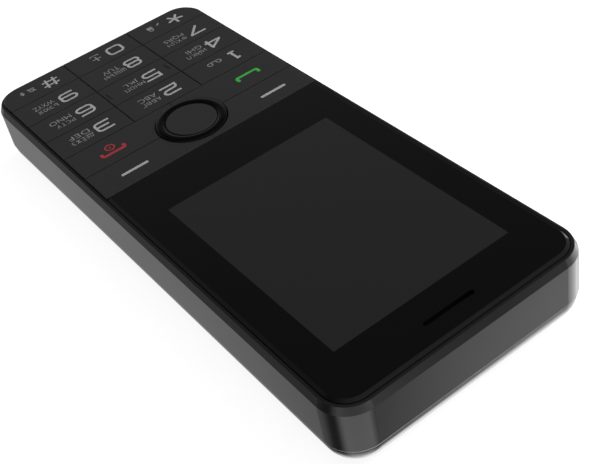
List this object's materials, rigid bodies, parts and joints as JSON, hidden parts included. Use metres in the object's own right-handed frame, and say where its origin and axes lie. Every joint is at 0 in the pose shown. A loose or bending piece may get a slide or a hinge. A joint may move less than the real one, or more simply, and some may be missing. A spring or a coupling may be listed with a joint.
{
  "type": "mobile phone",
  "caption": "Bar-shaped mobile phone with a flat glossy screen window, a flush numeric keypad, a round navigation ring and a removable battery cover.",
  "frame": {"origin": "middle of the back, on the surface that the phone rests on", "axes": "+Z out of the screen, +Y towards the earpiece end, +X to the right of someone reading the screen"},
  "size_m": [0.052, 0.1234, 0.0148],
  "materials": {
    "housing_plastic": "fine satin, slightly reflective dark grey-black",
    "screen_window": "polished black-bordered clear window",
    "key_plastic": "fine satin with backlit legends",
    "ring_gloss": "polished black",
    "cover_plastic": "fine matt texture",
    "chassis_plastic": "fine matt",
    "black_tape": "matt foam and tape",
    "display": "dark, switched-off panel",
    "silicone": "translucent silicone",
    "spring_steel": "bright stainless",
    "tinned_steel": "tinned sheet",
    "circuit_board": "solder mask",
    "film": "thin clear film",
    "flex_circuit": "amber polyimide",
    "lamp": "phosphor and clear resin",
    "gold_contact": "gold flash",
    "battery_wrap": "printed film wrap",
    "clear_window": "polished",
    "screw_steel": "dark nickel"
  },
  "bodies": {
    "phone_body": {"front_housing": "housing_plastic", "screen_lens": "screen_window", "lens_adhesive": "black_tape", "earpiece_mesh": "screw_steel", "earpiece_speaker": "chassis_plastic", "display_gasket": "black_tape", "lcd_panel": "display", "backlight_frame": "tinned_steel", "lcd_flex": "flex_circuit", "lcd_connector": "chassis_plastic", "keypad_stiffener": "spring_steel", "keypad_mat": "silicone", "dome_film": "film", "metal_domes": "spring_steel", "keypad_leds": "lamp", "main_board": "circuit_board", "baseband_can": "tinned_steel", "radio_can": "tinned_steel", "sim_holder_left": "tinned_steel", "sim_holder_right": "tinned_steel", "memory_card_holder": "tinned_steel", "battery_contacts": "gold_contact", "camera_module": "chassis_plastic", "torch_led": "lamp", "loudspeaker": "chassis_plastic", "vibration_motor": "tinned_steel", "usb_socket": "tinned_steel", "headphone_jack": "chassis_plastic", "microphone": "tinned_steel", "microphone_boot": "black_tape", "rear_chassis": "chassis_plastic", "housing_screws": "screw_steel", "battery_pack": "battery_wrap", "antenna": "flex_circuit"},
    "key_1": {"key_1": "key_plastic"},
    "key_2": {"key_2": "key_plastic"},
    "key_3": {"key_3": "key_plastic"},
    "key_4": {"key_4": "key_plastic"},
    "key_5": {"key_5": "key_plastic"},
    "key_6": {"key_6": "key_plastic"},
    "key_7": {"key_7": "key_plastic"},
    "key_8": {"key_8": "key_plastic"},
    "key_9": {"key_9": "key_plastic"},
    "key_star": {"key_star": "key_plastic"},
    "key_0": {"key_0": "key_plastic"},
    "key_hash": {"key_hash": "key_plastic"},
    "left_soft_key": {"left_soft_key": "key_plastic"},
    "right_soft_key": {"right_soft_key": "key_plastic"},
    "call_key": {"call_key": "key_plastic"},
    "end_key": {"end_key": "key_plastic"},
    "select_key": {"select_key": "key_plastic"},
    "nav_rocker": {"nav_rocker": "chassis_plastic"},
    "nav_ring": {"nav_ring": "ring_gloss"},
    "battery_cover": {"battery_cover": "cover_plastic", "camera_window": "clear_window", "torch_window": "clear_window", "speaker_mesh": "screw_steel"}
  },
  "joints": [
    {"name": "press_key_1", "type": "slide", "parent": "phone_body", "child": "key_1", "axis": [0, 0, -1], "range_m": [0, 0.0003], "stiffness_N_per_m": 2000, "springref_m": -0.0001},
    {"name": "press_key_2", "type": "slide", "parent": "phone_body", "child": "key_2", "axis": [0, 0, -1], "range_m": [0, 0.0003], "stiffness_N_per_m": 2000, "springref_m": -0.0001},
    {"name": "press_key_3", "type": "slide", "parent": "phone_body", "child": "key_3", "axis": [0, 0, -1], "range_m": [0, 0.0003], "stiffness_N_per_m": 2000, "springref_m": -0.0001},
    {"name": "press_key_4", "type": "slide", "parent": "phone_body", "child": "key_4", "axis": [0, 0, -1], "range_m": [0, 0.0003], "stiffness_N_per_m": 2000, "springref_m": -0.0001},
    {"name": "press_key_5", "type": "slide", "parent": "phone_body", "child": "key_5", "axis": [0, 0, -1], "range_m": [0, 0.0003], "stiffness_N_per_m": 2000, "springref_m": -0.0001},
    {"name": "press_key_6", "type": "slide", "parent": "phone_body", "child": "key_6", "axis": [0, 0, -1], "range_m": [0, 0.0003], "stiffness_N_per_m": 2000, "springref_m": -0.0001},
    {"name": "press_key_7", "type": "slide", "parent": "phone_body", "child": "key_7", "axis": [0, 0, -1], "range_m": [0, 0.0003], "stiffness_N_per_m": 2000, "springref_m": -0.0001},
    {"name": "press_key_8", "type": "slide", "parent": "phone_body", "child": "key_8", "axis": [0, 0, -1], "range_m": [0, 0.0003], "stiffness_N_per_m": 2000, "springref_m": -0.0001},
    {"name": "press_key_9", "type": "slide", "parent": "phone_body", "child": "key_9", "axis": [0, 0, -1], "range_m": [0, 0.0003], "stiffness_N_per_m": 2000, "springref_m": -0.0001},
    {"name": "press_key_star", "type": "slide", "parent": "phone_body", "child": "key_star", "axis": [0, 0, -1], "range_m": [0, 0.0003], "stiffness_N_per_m": 2000, "springref_m": -0.0001},
    {"name": "press_key_0", "type": "slide", "parent": "phone_body", "child": "key_0", "axis": [0, 0, -1], "range_m": [0, 0.0003], "stiffness_N_per_m": 2000, "springref_m": -0.0001},
    {"name": "press_key_hash", "type": "slide", "parent": "phone_body", "child": "key_hash", "axis": [0, 0, -1], "range_m": [0, 0.0003], "stiffness_N_per_m": 2000, "springref_m": -0.0001},
    {"name": "press_left_soft_key", "type": "slide", "parent": "phone_body", "child": "left_soft_key", "axis": [0, 0, -1], "range_m": [0, 0.0003], "stiffness_N_per_m": 2000, "springref_m": -0.0001},
    {"name": "press_right_soft_key", "type": "slide", "parent": "phone_body", "child": "right_soft_key", "axis": [0, 0, -1], "range_m": [0, 0.0003], "stiffness_N_per_m": 2000, "springref_m": -0.0001},
    {"name": "press_call_key", "type": "slide", "parent": "phone_body", "child": "call_key", "axis": [0, 0, -1], "range_m": [0, 0.0003], "stiffness_N_per_m": 2000, "springref_m": -0.0001},
    {"name": "press_end_key", "type": "slide", "parent": "phone_body", "child": "end_key", "axis": [0, 0, -1], "range_m": [0, 0.0003], "stiffness_N_per_m": 2000, "springref_m": -0.0001},
    {"name": "press_select_key", "type": "slide", "parent": "phone_body", "child": "select_key", "axis": [0, 0, -1], "range_m": [0, 0.0003], "stiffness_N_per_m": 2000, "springref_m": -0.0001},
    {"name": "nav_tilt_up_down", "type": "hinge", "parent": "phone_body", "child": "nav_rocker", "pos_m": [0, -0.01897, 0.0133], "axis": [1, 0, 0], "range_deg": [-2.2, 2.2], "stiffness_Nm_per_rad": 0.15},
    {"name": "nav_tilt_left_right", "type": "hinge", "parent": "nav_rocker", "child": "nav_ring", "pos_m": [0, -0.01897, 0.0133], "axis": [0, 1, 0], "range_deg": [-2.2, 2.2], "stiffness_Nm_per_rad": 0.15},
    {"name": "cover_lift_off", "type": "slide", "parent": "phone_body", "child": "battery_cover", "axis": [0, 0, -1], "range_m": [0, 0.012]}
  ]
}
